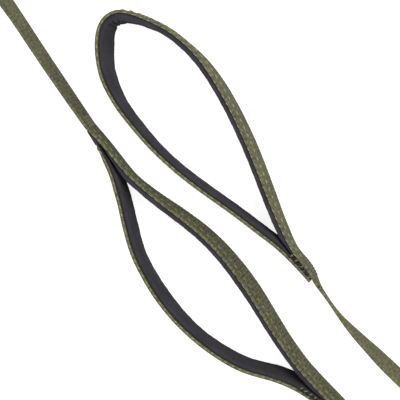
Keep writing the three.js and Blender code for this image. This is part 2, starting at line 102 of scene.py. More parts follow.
MIDDLE_MAIN = [
    (0.082, 0.028, 3.5, 0), (0.076, 0.0274, 4.8, 0), (0.072, 0.0271, 5.4, 0),
    (0.0705, 0.027, 5.6, 0), (0.066, 0.0268, 6, 0), (0.06, 0.0267, 6.4, 0), (0.053, 0.0266, 7, 0),
    (0.047, 0.0265, 7.4, 0), (0.04, 0.0261, 8, 0), (0.0335, 0.0248, 8, 0), (0.027, 0.0233, 7, 0),
    (0.02, 0.0216, 5.5, 0), (0.007, 0.0176, 3, 0), (-0.006, 0.0138, 1.5, 0), (-0.019, 0.0106, 0, 0),
    (-0.0325, 0.0087, -1.5, 0), (-0.046, 0.0079, -3, 0), (-0.059, 0.0081, -4.2, 0),
    (-0.072, 0.0089, -4.7, 0), (-0.086, 0.0106, -4.4, 0), (-0.099, 0.0122, -3.9, 0),
    (-0.112, 0.0133, -2.8, 0), (-0.125, 0.0138, -2.5, 0), (-0.132, 0.0136, -2.2, 0),
    (-0.139, 0.0131, -2, 0), (-0.145, 0.0125, -2, 0), (-0.152, 0.0118, -2, 0),
    (-0.158, 0.0111, -2, 0), (-0.166, 0.0101, -1, 0), (-0.174, 0.0089, 0, 0),
    (-0.182, 0.0076, 0, 0),
]
MIDDLE_SECOND = [
    (0.0705, 0.031, 5.6, 0), (0.065, 0.0319, 6, 0), (0.06, 0.0329, 6, 0), (0.053, 0.0345, 5.5, 0),
    (0.047, 0.0362, 4.4, 0), (0.04, 0.039, 3, 0), (0.0335, 0.0416, 2.5, 0), (0.027, 0.0446, 2, 0),
    (0.02, 0.0481, 1.5, 0), (0.0135, 0.0511, 1.5, 0), (0.007, 0.0541, 2, 0), (0.0005, 0.0567, 3, 0),
    (-0.006, 0.0588, 3.8, 0), (-0.019, 0.0613, 3.4, 0), (-0.0325, 0.0627, 2.5, 0),
    (-0.046, 0.063, 3, 0), (-0.059, 0.0621, 4.2, 0), (-0.072, 0.0599, 5, 0),
    (-0.086, 0.0557, 3.5, 0), (-0.099, 0.0502, 1.6, 0), (-0.106, 0.0462, 0.8, 0),
    (-0.112, 0.0418, -0.5, 0), (-0.119, 0.0358, -2, 0), (-0.125, 0.0312, -2.5, 0),
    (-0.132, 0.027, -2.2, 0), (-0.139, 0.0236, -2, 0), (-0.145, 0.0214, -2, 0),
    (-0.152, 0.0188, -2, 0), (-0.158, 0.0166, -2, 0), (-0.166, 0.0129, -1, 0),
    (-0.178, 0.0109, 0, 0),
]
STRAP_TO_COIL = [
    (-0.190, 0.0056, 0, 0), (-0.200, 0.0012, 0, 0), (-0.210, -0.006, 0, 0),
    (-0.220, -0.0159, 0, 0), (-0.231, -0.0252, 0, 0), (-0.243, -0.0296, 0, 0),
]
STRAP_TO_END_LOOP = [
    (-0.243, -0.0401, 0, 0), (-0.231, -0.0397, 0, 0), (-0.215, -0.0386, 0, 0),
    (-0.2, -0.0368, 2.5, 0), (-0.185, -0.0347, 4.2, 0), (-0.174, -0.033, 4.5, 0),
    (-0.164, -0.0315, 4.5, 0), (-0.157, -0.0305, 3.4, 0), (-0.15, -0.0296, 2, 0),
    (-0.144, -0.0288, -0.5, 0), (-0.137, -0.0279, -2.7, 0), (-0.131, -0.0272, -5, 0),
    (-0.124, -0.0266, -8, 0), (-0.118, -0.0263, -11, 0), (-0.111, -0.0264, -12.5, 0),
    (-0.1045, -0.0268, -13, 0), (-0.098, -0.0273, -12.3, 0),
]
END_LOOP = [
    (-0.092, -0.0278, -9.8, 0), (-0.087, -0.029, -6, 0), (-0.08, -0.0302, -5, 0),
    (-0.076, -0.0303, -5.2, 0), (-0.072, -0.0303, -5.6, 0), (-0.065, -0.0301, -6, 0),
    (-0.0585, -0.0312, -5, 0), (-0.052, -0.0328, -4, 0), (-0.0455, -0.0344, -3, 0),
    (-0.039, -0.0363, -2.3, 0), (-0.026, -0.0403, -0.5, 0), (-0.006, -0.0467, 0, 0),
    (0.0135, -0.0522, 0, 0), (0.033, -0.0565, -1, 0), (0.046, -0.0586, -1.5, 0),
    (0.059, -0.0599, -3.4, 0), (0.072, -0.06, -6, 0), (0.085, -0.0583, -9, 0),
    (0.098, -0.0552, -8.5, 0), (0.105, -0.0523, -7.5, 0), (0.112, -0.0489, -7, 0),
    (0.1185, -0.0453, -7, 0), (0.1244, -0.0411, -7, 0), (0.1288, -0.0363, -7, 0),
    (0.1305, -0.03, -7, 0), (0.1292, -0.0238, -7, 0), (0.1251, -0.018, -8, 0),
    (0.1187, -0.0123, -8.5, 0), (0.1122, -0.0074, -6, 0), (0.106, -0.0032, -2, 0),
    (0.0995, -0.0004, 0, 0), (0.093, 0.0015, 2, 0), (0.086, 0.003, 4.2, 0),
    (0.0795, 0.0038, 5.2, 0), (0.073, 0.0041, 6.3, 0), (0.06, 0.004, 7, 0),
    (0.0465, 0.0033, 8.3, 0), (0.0335, 0.0015, 9, 0), (0.02, -0.0013, 8.3, 0),
    (0.007, -0.0049, 8, 0), (-0.006, -0.0088, 8, 0), (-0.019, -0.0129, 8, 0),
    (-0.0325, -0.0166, 7.7, 0), (-0.0455, -0.0201, 7.5, 0), (-0.052, -0.022, 7.2, 0),
    (-0.0585, -0.0234, 7, 0), (-0.065, -0.0244, 7, 0), (-0.072, -0.0252, 7, 0),
    (-0.076, -0.0256, 7, 0), (-0.08, -0.026, 6.6, 0), (-0.086, -0.0264, 6, 0),
]

# Padding thickness against x: squeezed under the stitching where a loop closes, full beyond it.
# The main padding swells again beyond the end of the second web, where nothing squeezes it. The
# end loop's padding bunches up in the tight bend, where its thickness goes by y instead.
PAD_ON_MAIN_WEB = [
    (-0.158, PAD_SEWN), (-0.152, 0.0017), (-0.145, 0.0026), (-0.139, 0.003), (-0.125, 0.003),
    (-0.099, 0.003), (-0.06, 0.0035), (-0.03, PAD_THICKNESS), (0.04, PAD_THICKNESS),
    (0.047, 0.0027), (0.053, 0.0019), (0.06, 0.0013), (0.066, PAD_CLAMPED), (0.0705, PAD_CLAMPED),
    (0.0706, 0.0031), (0.074, 0.0025), (0.076, 0.0021), (0.079, 0.0014), (0.082, PAD_CLAMPED),
]
PAD_ON_SECOND_WEB = [
    (-0.158, PAD_SEWN), (-0.152, 0.0017), (-0.145, 0.0022), (-0.139, 0.0025), (-0.119, 0.0025),
    (-0.099, 0.003), (-0.086, PAD_THICKNESS), (0.04, PAD_THICKNESS), (0.047, 0.0027),
    (0.053, 0.0019), (0.06, 0.0013), (0.066, PAD_CLAMPED),
]
PAD_IN_END_LOOP = [
    (-0.076, PAD_CLAMPED), (-0.072, 0.0007), (-0.065, PAD_SEWN), (-0.0585, 0.002),
    (-0.052, PAD_THICKNESS),
]
BEND_START = 0.1
PAD_ROUND_BEND = [
    (-0.053, PAD_THICKNESS), (-0.047, 0.0042), (-0.041, 0.0052), (-0.034, 0.0054),
    (-0.028, 0.0044), (-0.023, 0.0032), (-0.016, 0.0025), (-0.007, 0.0025),
    (-0.001, PAD_THICKNESS),
]


def coil():
    """The put-away strap, wound from its middle: in on one strand, an S at the centre, and out on
    the other."""
    def strand(outer_radius, turned):
        radius = outer_radius - COIL_PITCH * turned / 360
        angle = math.radians(turned)
        x = COIL_CENTRE[0] - radius * math.sin(angle)
        y = COIL_CENTRE[1] - radius * math.cos(angle)
        return (x, y, 0, 0)

    outer_in, outer_out = 0.0405, 0.050        # radius where each strand starts
    turned_in, turned_out, each = 450, 630, 30     # degrees
    ways_in = [strand(outer_in, t) for t in range(0, turned_in + 1, each)]
    ways_out = [strand(outer_out, t) for t in range(turned_out, -1, -each)]
    half = (ways_out[0][0] - ways_in[-1][0]) / 4
    middle = [
        (COIL_CENTRE[0] + side * half - half * math.cos(math.radians(a)),
         COIL_CENTRE[1] - side * half * math.sin(math.radians(a)), 0, 0)
        for side in (-1, 1) for a in (45, 90, 135, 180) if (side, a) != (1, 180)
    ]
    return ways_in + middle + ways_out


def point_at(points, x):
    """The first point of a route that has this x."""
    return next(p for p in points if p[0] == x)


def looked_up(table, place):
    """The value at each place, from a table of places and values."""
    return np.interp(place, *zip(*table))


# ---------------------------------------------------------------- a standing web's track

SAMPLES = 24                 # for each span between two route points
SMOOTHING = 0.35             # of a span


def through(points):
    """A centripetal Catmull-Rom curve through plan points."""
    p = np.vstack([2 * points[0] - points[1], points, 2 * points[-1] - points[-2]])
    spans = []
    for corners in zip(p, p[1:], p[2:], p[3:]):
        knots = [0.0]
        for a, b in zip(corners, corners[1:]):
            knots.append(knots[-1] + math.sqrt(np.linalg.norm(b - a)))
        t = np.linspace(knots[1], knots[2], SAMPLES, endpoint=False)[:, None]

        def between(a, b, i, j):
            return ((knots[j] - t) * a + (t - knots[i]) * b) / (knots[j] - knots[i])

        first, second, third = (between(corners[i], corners[i + 1], i, i + 1) for i in range(3))
        early, late = between(first, second, 0, 2), between(second, third, 1, 3)
        spans.append(between(early, late, 1, 2))
    return np.vstack(spans + [points[-1]])


def smoothed(values, sigma):
    """Each column smoothed with a bell of weights. The two ends stay where they are."""
    reach = int(3 * sigma)
    weights = np.exp(-0.5 * (np.arange(-reach, reach + 1) / sigma) ** 2)
    before = 2 * values[0] - values[reach:0:-1]
    after = 2 * values[-1] - values[-2:-reach - 2:-1]
    padded = np.vstack([before, values, after])
    return np.column_stack([np.convolve(c, weights / weights.sum(), "valid") for c in padded.T])


class Track:
    """The middle of a web that stands on its edge, along a route."""

    def __init__(self, route):
        self.route = route
        table = np.array(route, float)
        plan = through(table[:, :2])
        place = np.arange(len(plan)) / SAMPLES
        whole = np.arange(len(table))
        lean, lift = (np.interp(place, whole, table[:, k]) for k in (2, 3))
        self.line = smoothed(np.column_stack([plan, np.radians(lean), lift]), SMOOTHING * SAMPLES)
        steps = np.linalg.norm(np.diff(self.line[:, :2], axis=0), axis=1)
        self.along = np.concatenate([[0], np.cumsum(steps)])
        self.ahead = np.gradient(self.line[:, :2], self.along, axis=0)
        heading = np.unwrap(np.arctan2(self.ahead[:, 1], self.ahead[:, 0]))
        self.bend = smoothed(np.gradient(heading, self.along)[:, None], SMOOTHING * SAMPLES)[:, 0]

    def mark(self, point):
        """How far along the track a point of its route is."""
        return self.along[self.route.index(point) * SAMPLES]

    def curvature(self, along):
        return np.interp(along, self.along, self.bend)

    def plan(self, along):
        """The route's own x and y, before the frame's centre is taken off."""
        return [np.interp(along, self.along, self.line[:, k]) for k in (0, 1)]

    def at(self, along, across, height):
        """Points in the frame. across is how far to the left of the web's middle plane they are,
        and height is how far above the middle of its width."""
        x, y, lean, lift = (np.interp(along, self.along, c) for c in self.line.T)
        ahead_x, ahead_y = (np.interp(along, self.along, c) for c in self.ahead.T)
        size = np.hypot(ahead_x, ahead_y)
        left_x, left_y = -ahead_y / size, ahead_x / size
        sine, cosine = np.sin(lean), np.cos(lean)
        middle_z = lift + WEB_WIDTH / 2 * cosine + WEB_THICKNESS / 2 * np.abs(sine)
        sideways = across * cosine + height * sine
        return np.stack([
            x - FRAME_CENTRE[0] + left_x * sideways,
            y - FRAME_CENTRE[1] + left_y * sideways,
            middle_z + height * cosine - across * sine,
        ], axis=-1)


# ---------------------------------------------------------------- mesh helpers

def new_piece(name, points, faces, material, body, values):
    """A smooth mesh that rides on a body. values holds numbers for its points, by name."""
    mesh = bpy.data.meshes.new(name)
    mesh.from_pydata(points.tolist(), [], faces)
    for key, numbers in values.items():
        mesh.attributes.new(key, "FLOAT", "POINT").data.foreach_set(
            "value", np.ascontiguousarray(numbers, np.float32).ravel())
    mesh.polygons.foreach_set("use_smooth", [True] * len(mesh.polygons))
    mesh.materials.append(material)
    mesh.validate()
    piece = bpy.data.objects.new(name, mesh)
    bpy.context.scene.collection.objects.link(piece)
    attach(piece, body)
    return piece


def grid_faces(rings, around):
    """Faces over rings of points, each ring running the same way round, and over the two ends."""
    faces = [
        (i * around + k, i * around + (k + 1) % around,
         (i + 1) * around + (k + 1) % around, (i + 1) * around + k)
        for i in range(rings - 1) for k in range(around)
    ]
    faces.append(tuple(reversed(range(around))))
    faces.append(tuple((rings - 1) * around + k for k in range(around)))
    return faces


def outline(width, thickness, corner, face_steps, edge_steps, corner_steps=3):
    """Rows of across, height, outward across, outward height and distance round a flat section."""
    high, wide = width / 2 - corner, thickness / 2 - corner
    rows = []
    corners = [(wide, high), (-wide, high), (-wide, -high), (wide, -high)]
    for turn, (across, height) in enumerate(corners):
        for j in range(corner_steps + 1):
            angle = math.radians(90 * (turn + j / corner_steps))
            out = math.cos(angle), math.sin(angle)
            rows.append([across + corner * out[0], height + corner * out[1], *out])
        following = corners[(turn + 1) % 4]
        steps = edge_steps if turn % 2 == 0 else face_steps
        for j in range(1, steps):
            share = j / steps
            middle = [a + (b - a) * share for a, b in zip((across, height), following)]
            rows.append([middle[0] + corner * out[0], middle[1] + corner * out[1], *out])
    section = np.array(rows)
    closed = np.vstack([section[:, :2], section[:1, :2]])
    round_it = np.concatenate([[0], np.cumsum(np.linalg.norm(np.diff(closed, axis=0), axis=1))])
    return np.column_stack([section, round_it[:-1]])


def sweep(name, track, along, section, swell, material, centre=0.0, share=1.0, ribs=1.0):
    """A section carried along a track. swell moves each point outward, centre moves each section
    across, share scales its thickness, and ribs says how strongly the painted shade of the cross
    ribs shows."""
    along = np.asarray(along)[:, None]
    centre, share, ribs = (np.broadcast_to(np.asarray(v, float).reshape(-1, 1), along.shape)
                           for v in (centre, share, ribs))
    across = centre + section[:, 0] * share + section[:, 2] * swell
    height = section[:, 1] + section[:, 3] * swell
    points = track.at(along + 0 * across, across, height)
    values = {"along": along + 0 * across, "round_it": section[:, 4] + 0 * across,
              "ribs": ribs + 0 * across}
    faces = grid_faces(len(along), len(section))
    return new_piece(name, points.reshape(-1, 3), faces, material, "sling", values)


def threads(name, paths, radius, material, body, sides=8):
    """One mesh of many threads. paths holds the points of each, all with the same count, and
    radius is one number or one for each thread."""
    paths = np.asarray(paths)
    count, steps = paths.shape[:2]
    radius = np.broadcast_to(radius, count)[:, None, None]
    ahead = np.gradient(paths, axis=1)
    ahead /= np.linalg.norm(ahead, axis=2, keepdims=True)
    chord = paths[:, -1] - paths[:, 0]
    guide = np.where(np.abs(chord[:, 2:]) > 0.7 * np.linalg.norm(chord, axis=1, keepdims=True),
                     [[1.0, 0.3, 0.0]], [[0.0, 0.0, 1.0]])
    first = np.cross(ahead, guide[:, None, :])
    first /= np.linalg.norm(first, axis=2, keepdims=True)
    second = np.cross(ahead, first)
    taper = np.sqrt(np.clip(1 - np.abs(np.linspace(-1, 1, steps)) ** 6, 0.12, 1))
    angles = np.arange(sides) * 2 * math.pi / sides
    ring = (first[:, :, None, :] * np.cos(angles)[:, None]
            + second[:, :, None, :] * np.sin(angles)[:, None])
    points = paths[:, :, None, :] + radius[..., None] * taper[None, :, None, None] * ring
    one = grid_faces(steps, sides)
    faces = [tuple(i + n * steps * sides for i in face) for n in range(count) for face in one]
    length = np.linalg.norm(np.diff(paths, axis=1), axis=2).cumsum(axis=1)
    run = np.concatenate([np.zeros((count, 1)), length], axis=1)
    values = {"along": np.repeat(run[:, :, None], sides, axis=2),
              "round_it": np.broadcast_to(angles * radius, (count, steps, sides))}
    return new_piece(name, points.reshape(-1, 3), faces, material, body, values)


# ---------------------------------------------------------------- materials

class Shader:
    """A material and short calls for the nodes that it is made of."""

    def __init__(self, name, **principled):
        self.material = bpy.data.materials.new(name)
        self.material.use_nodes = True
        self.tree = self.material.node_tree
        self.base = self.tree.nodes["Principled BSDF"]
        for socket, value in principled.items():
            self.base.inputs[socket.replace("_", " ")].default_value = value

    def add(self, kind, inputs=(), output=0, **settings):
        node = self.tree.nodes.new("ShaderNode" + kind)
        for key, value in settings.items():
            setattr(node, key, value)
        for socket, value in dict(inputs).items():
            if isinstance(value, bpy.types.NodeSocket):
                self.tree.links.new(value, node.inputs[socket])
            else:
                node.inputs[socket].default_value = value
        return node.outputs[output]

    def math(self, operation, a, b=0.0, c=0.0):
        return self.add("Math", {0: a, 1: b, 2: c}, operation=operation)

    def value(self, name):
        """A number that the mesh holds for each point."""
        return self.add("Attribute", output="Fac", attribute_name=name)

    def mixed(self, factor, a, b):
        """From colour a at 0 to colour b at 1."""
        return self.add("Mix", {0: factor, 6: (*a, 1) if isinstance(a, tuple) else a,
                                7: (*b, 1) if isinstance(b, tuple) else b},
                        output=2, data_type="RGBA")

    def noise(self, vector, scale, detail=2.0, roughness=0.5):
        return self.add("TexNoise", {"Vector": vector, "Scale": scale, "Detail": detail,
                                     "Roughness": roughness})

    def spread(self, value, low, high, to_low=0.0, to_high=1.0):
        return self.add("MapRange", {"Value": value, "From Min": low, "From Max": high,
                                     "To Min": to_low, "To Max": to_high})

    def wave(self, value, pitch, phase=0.0):
        """A cosine from 0 to 1 of a distance."""
        turned = self.math("MULTIPLY_ADD", value, 2 * math.pi / pitch, phase)
        return self.math("MULTIPLY_ADD", self.math("COSINE", turned), 0.5, 0.5)

    def bump(self, height, distance, strength):
        return self.add("Bump", {"Height": height, "Distance": distance, "Strength": strength})

    def finish(self, **sockets):
        for socket, value in sockets.items():
            self.tree.links.new(value, self.base.inputs[socket.replace("_", " ")])
        return self.material


def srgb(red, green, blue):
    """A linear colour from an 8-bit one."""
    def linear(v):
        v /= 255
        return v / 12.92 if v <= 0.04045 else ((v + 0.055) / 1.055) ** 2.4
    return linear(red), linear(green), linear(blue)


def webbing():
    """Olive nylon webbing: cross ribs with painted shade in their grooves, yarns that lie over
    them, and yarns of uneven colour.
    """
    s = Shader("olive_webbing", Roughness=0.85, Sheen_Weight=0.04, Sheen_Roughness=0.5,
               Specular_IOR_Level=0.12)
    along, round_it = s.value("along"), s.value("round_it")
    surface = s.add("CombineXYZ", {"X": along, "Y": round_it})
    # Painted shade: the colour darkens in the grooves between the cross ribs, in step with their
    # relief, as strongly as the ribs value says. Where that is weaker, the shade's mean tone is
    # added back.
    rib_groove_shade = 0.22
    clear = s.value("ribs")
    ribs = s.math("MULTIPLY", s.wave(along, RIB_PITCH), clear)
    groove_shade_lost_to_faint_ribs = s.math("MULTIPLY_ADD", clear, -rib_groove_shade / 2, rib_groove_shade / 2)
    column = s.math("FLOOR", s.math("DIVIDE", round_it, YARN))
    yarns = s.wave(round_it, YARN, math.pi)
    floats = s.wave(s.math("MULTIPLY_ADD", column, RIB_PITCH / 4, along), RIB_PITCH / 2)
    fine = s.noise(surface, 1400, 3)
    stretched = s.add("VectorMath", {0: surface, 1: (1.0, 0.3, 1.0)}, operation="MULTIPLY")
    mottled = s.noise(stretched, 620, 3, 0.65)
    slow = s.noise(surface, 60, 2)
    tone = s.math("ADD", s.math("MULTIPLY", ribs, rib_groove_shade), s.math("MULTIPLY", yarns, 0.12))
    tone = s.math("ADD", tone, groove_shade_lost_to_faint_ribs)
    tone = s.math("ADD", tone, s.spread(mottled, 0.3, 0.7, -0.1, 0.72))
    tone = s.math("ADD", tone, s.spread(slow, 0.3, 0.7, -0.10, 0.10))
    colour = s.mixed(tone, srgb(56, 57, 38), srgb(125, 124, 92))
    weave = s.math("ADD", s.math("MULTIPLY", yarns, floats), s.math("MULTIPLY", fine, 0.35))
    return s.finish(Base_Color=colour, Normal=s.bump(weave, 0.00025, 0.9),
                    Roughness=s.spread(fine, 0.2, 0.8, 0.78, 0.95))


def padding():
    """Black padding: a soft knit with a slightly purple cast."""
    s = Shader("black_padding", Roughness=0.95, Sheen_Weight=0.03, Sheen_Roughness=0.6,
               Specular_IOR_Level=0.08)
    along, round_it = s.value("along"), s.value("round_it")
    surface = s.add("CombineXYZ", {"X": along, "Y": round_it})
    knit = s.math("MULTIPLY", s.wave(along, KNIT), s.wave(round_it, KNIT))
    fluff = s.noise(surface, 1800, 4, 0.65)
    slow = s.noise(surface, 70, 2)
    tone = s.math("ADD", s.spread(fluff, 0.3, 0.7, 0.0, 0.6), s.spread(slow, 0.3, 0.7, 0.0, 0.4))
    colour = s.mixed(tone, srgb(38, 37, 41), srgb(66, 64, 71))
    height = s.math("ADD", s.math("MULTIPLY", knit, 0.5), fluff)
    return s.finish(Base_Color=colour, Normal=s.bump(height, 0.0002, 0.8),
                    Roughness=s.spread(fluff, 0.2, 0.8, 0.88, 0.99))


def thread(name, dark, light):
    """Sewing thread: plies that wind round it, with a slight sheen."""
    s = Shader(name, Roughness=0.6, Sheen_Weight=0.08, Specular_IOR_Level=0.3)
    along, round_it = s.value("along"), s.value("round_it")
    plies = s.wave(s.math("MULTIPLY_ADD", round_it, 0.6, along), 0.0007)
    position = s.add("NewGeometry", output="Position")
    tone = s.math("ADD", s.math("MULTIPLY", plies, 0.6),
                  s.spread(s.noise(position, 300), 0.3, 0.7, 0.0, 0.4))
    return s.finish(Base_Color=s.mixed(tone, dark, light), Normal=s.bump(plies, 0.00012, 0.8))


def metal(name, colour, rough, grain, bump_depth):
    """Plated metal: uneven polish, a fine grain, and edges rubbed brighter."""
    s = Shader(name, Metallic=1.0)
    position = s.add("NewGeometry", output="Position")
    edges = s.spread(s.add("NewGeometry", output="Pointiness"), 0.52, 0.60)
    fine = s.noise(position, grain, 4, 0.6)
    cloudy = s.spread(s.noise(position, 120, 2), 0.35, 0.7)
    dull = tuple(0.72 * c for c in colour)
    bright = tuple(min(1.0, 1.25 * c) for c in colour)
    body_colour = s.mixed(cloudy, colour, dull)
    return s.finish(Base_Color=s.mixed(edges, body_colour, bright),
                    Roughness=s.spread(fine, 0.25, 0.75, rough, rough + 0.16),
                    Normal=s.bump(fine, bump_depth, 0.6))


OLIVE = webbing()
BLACK_PAD = padding()
LIGHT_THREAD = thread("light_thread", srgb(124, 122, 93), srgb(172, 169, 138))
OLIVE_THREAD = thread("olive_thread", srgb(78, 79, 57), srgb(124, 123, 95))
BLACK_THREAD = thread("black_thread", srgb(12, 12, 12), srgb(34, 33, 34))
CAST_METAL = metal("cast_metal", srgb(178, 180, 182), 0.30, 900, 0.0001)
BRIGHT_METAL = metal("bright_metal", srgb(205, 207, 210), 0.16, 2500, 0.00002)


# ---------------------------------------------------------------- camera

def make_camera():
    """Looks down steeply from the -Y side, rolled so that the sling runs across the picture."""
    elevation, roll, distance = 75.0, -128.0, 1.3
    field_of_view = 11.596
    target = (-FRAME_CENTRE[0], -FRAME_CENTRE[1], WEB_WIDTH / 2)
    data = bpy.data.cameras.new("camera")
    data.sensor_width = 36
    data.lens = data.sensor_width / 2 / math.tan(math.radians(field_of_view / 2))
    data.clip_start, data.clip_end = 0.05, 50
    camera = bpy.data.objects.new("camera", data)
    bpy.context.scene.collection.objects.link(camera)
    camera.matrix_world = (
        Matrix.Translation(target)
        @ Matrix.Rotation(math.radians(90 - elevation), 4, "X")
        @ Matrix.Rotation(math.radians(roll), 4, "Z")
        @ Matrix.Translation((0, 0, distance)))
    bpy.context.scene.camera = camera


make_camera()

# ---------------------------------------------------------------- webbing

long_track = Track(FLAP + FOLD + TAIL + MIDDLE_MAIN + STRAP_TO_COIL + coil()
                   + STRAP_TO_END_LOOP + END_LOOP)
second_track = Track(MIDDLE_SECOND)

WEB_SECTION = outline(WEB_WIDTH, WEB_THICKNESS, corner=0.0007, face_steps=14, edge_steps=2)
RIB_DEPTH = 0.00008
RIB_WANDER = 0.9             # radians of a rib's pitch
RIBS_ON_EDGES = 0.3          # of their depth on the faces
FAINT_RIBS = 0.45      # how clearly the ribs show, in relief and in painted shade, where they are faint
CUT = 0.0004                 # how far a heat-sealed end is rounded
PRESSED_LENGTH = 0.012       # of the second web's end under the stitching
PRESSED_SHARE = 0.45         # of a web's thickness, where its end is pressed flat


def unevenness(along, height):
    """A slow, repeatable wander of about -1 to 1 over a web's surface."""
    return (0.5 * np.sin(310 * along + 90 * height + 1.3) + 0.3 * np.sin(743 * along - 160 * height)
            + 0.2 * np.sin(1571 * along + 420 * height + 0.7))


def stations(start, end, step, round_start=0.0, round_end=0.0):
    """Distances from start to end, closer together where an end is rounded off."""
    even = np.linspace(start, end, int(round((end - start) / step)) + 1)
    ease = 1 - np.cos(np.linspace(0, math.pi / 2, 6))
    even = even[(even >= start + 1.1 * round_start) & (even <= end - 1.1 * round_end)]
    first = start + round_start * ease if round_start else [start]
    last = end - round_end * ease[::-1] if round_end else [end]
    return np.unique(np.concatenate([first, even, last]))


def rounding(along, start, end, round_start, round_end):
    """How far the surface draws in towards a rounded end, on a quarter circle."""
    drawn = np.zeros_like(along)
    for depth, radius in ((along - start, round_start), (end - along, round_end)):
        if radius:
            inside = np.clip(radius - depth, 0, radius)
            drawn += radius - np.sqrt(radius ** 2 - inside ** 2)
    return drawn[:, None]


def web_swell(along, section):
    """Cross ribs that wander a little, softer on the two edges of the web."""
    along = along[:, None]
    height = section[:, 1]
    on_face = np.abs(section[:, 2])
    phase = 2 * math.pi * along / RIB_PITCH + RIB_WANDER * unevenness(along, height)
    depth = RIB_DEPTH * (RIBS_ON_EDGES + (1 - RIBS_ON_EDGES) * on_face)
    depth = depth * (1 + 0.5 * unevenness(along + 0.4, height))
    return depth * (np.cos(phase) - 1)


def web_between(name, track, start, end, cut_start=0.0, cut_end=0.0, pressed=0.0,
                ribs_at=((0, FAINT_RIBS),)):
    """A length of web. A cut end is heat-sealed, so it is rounded by the radius given. Over the
    length pressed, the start is thinner, and its right face is the one that draws in. ribs_at is
    a table of distances and how clearly the ribs show there."""
    along = stations(start, end, STEP, cut_start, cut_end)
    ribs = looked_up(ribs_at, along)
    swell = (web_swell(along, WEB_SECTION) * ribs[:, None]
             - rounding(along, start, end, cut_start, cut_end))
    share = np.interp(along - start, [0, pressed], [PRESSED_SHARE, 1]) if pressed else 1.0
    centre = (1 - share) * WEB_THICKNESS / 2
    return sweep(name, track, along, WEB_SECTION, swell, OLIVE, centre, share, ribs)


strap_start = long_track.mark(END_LOOP[0])
strap_end = long_track.mark(MIDDLE_MAIN[-1])
strap = web_between("strap_between_loops", long_track, strap_end, strap_start)
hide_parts("strap_to_end_loop", "strap_coil", "strap_from_middle_loop")

long_web = web_between("long_web", long_track, 0.0, strap_end, cut_start=CUT, ribs_at=[
    (long_track.mark(point_at(MIDDLE_MAIN, 0.072)), FAINT_RIBS),
    (long_track.mark(point_at(MIDDLE_MAIN, 0.04)), 1),
    (long_track.mark(point_at(MIDDLE_MAIN, -0.132)), 1),
    (long_track.mark(point_at(MIDDLE_MAIN, -0.166)), FAINT_RIBS),
])
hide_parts("tail_web", "middle_loop_main_web")
second_web = web_between("second_web", second_track, 0.0, second_track.along[-1],
                         cut_start=CUT, cut_end=CUT, pressed=PRESSED_LENGTH)
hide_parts("middle_loop_second_web")
end_loop = web_between("end_loop", long_track, strap_start, long_track.along[-1], cut_end=CUT)
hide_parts("end_loop_web")

# ---------------------------------------------------------------- padding

PAD_SECTION = outline(PAD_WIDTH, PAD_THICKNESS, corner=0.0012, face_steps=20, edge_steps=2,
                      corner_steps=4)
PAD_STEP = 0.0004
PAD_CUT = 0.0004             # how far a cut end is rounded
PAD_CROWN = 0.00035          # how far the middle of the inner face swells
PAD_RIPPLE = 0.00012
CHANNEL_DEPTH = 0.0004       # of the groove along the stitch row
CHANNEL_WIDTH = 0.0011
BINDING_DEPTH = 0.00009      # of the small waves along the bound edges
BINDING_PITCH = 0.0013
CREASE_BENDS = (32, 62)      # per metre: the bends where creases start and where they are full
CREASE_PITCH = 0.0052
CREASE_DEPTH = 0.0011
CREASE_SWELL = 0.0002        # between two creases


def creases(along, height, bend):
    """Folds that the padding makes where its loop turns tightly."""
    tight = np.interp(np.abs(bend), CREASE_BENDS, (0, 1))
    slanted = along + 0.12 * height + 0.0006 * unevenness(2.3 * along, height)
    fold = np.abs(np.cos(math.pi * slanted / CREASE_PITCH)) ** 6
    return tight * (CREASE_SWELL - CREASE_DEPTH * fold)


def pad_swell(along, section, side, track):
    """A crowned inner face, a sewn channel along the stitch row, and bound edges."""
    along = along[:, None]
    height = section[:, 1]
    inside = np.clip(section[:, 2] * side, 0, 1)
    crown = PAD_CROWN * np.cos(math.pi * height / PAD_WIDTH)
    dip = 0.6 + 0.4 * np.cos(2 * math.pi * along / STITCH_PITCH)
    groove = np.exp(-((height - STITCH_HEIGHT) / CHANNEL_WIDTH) ** 2)
    channel = -CHANNEL_DEPTH * dip * groove
    binding = BINDING_DEPTH * np.cos(2 * math.pi * along / BINDING_PITCH)
    edge = np.abs(section[:, 3]) * binding
    ripple = PAD_RIPPLE * unevenness(1.7 * along, height)
    fold = creases(along, height, track.curvature(along))
    return inside * (crown + channel + ripple + fold) + edge


def end_pad_thickness(x, y):
    """By x along the two arms of the end loop, and by y round its bend."""
    return np.where(x < BEND_START, looked_up(PAD_IN_END_LOOP, x), looked_up(PAD_ROUND_BEND, y))


def pad_between(name, track, start, end, side, thickness, node):
    """Padding against one face of a web: side is 1 for the left face and -1 for the right, and
    thickness goes by the place."""
    along = stations(start, end, PAD_STEP, PAD_CUT, PAD_CUT)
    thick = thickness(*track.plan(along))
    centre = side * (WEB_THICKNESS / 2 + PAD_GAP + thick / 2)
    share = thick / PAD_THICKNESS
    swell = pad_swell(along, PAD_SECTION, side, track) * share[:, None]
    swell = swell - rounding(along, start, end, PAD_CUT, PAD_CUT) * share[:, None]
    piece = sweep(name, track, along, PAD_SECTION, swell, BLACK_PAD,
                  centre, share)
    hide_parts(node)


main_pad_ends = (long_track.mark(MIDDLE_MAIN[0]), long_track.mark(point_at(MIDDLE_MAIN, -0.158)))
second_pad_ends = (0.0, second_track.mark(point_at(MIDDLE_SECOND, -0.158)))
end_pad_ends = (long_track.mark(point_at(END_LOOP, -0.076)),
                long_track.mark(point_at(END_LOOP[::-1], -0.076)))
pad_between("main_padding", long_track, *main_pad_ends, side=-1,
            thickness=lambda x, y: looked_up(PAD_ON_MAIN_WEB, x), node="middle_loop_main_pad")
pad_between("second_padding", second_track, *second_pad_ends, side=1,
            thickness=lambda x, y: looked_up(PAD_ON_SECOND_WEB, x), node="middle_loop_second_pad")
pad_between("end_padding", long_track, *end_pad_ends, side=1,
            thickness=end_pad_thickness, node="end_loop_pad")

# ---------------------------------------------------------------- stitching

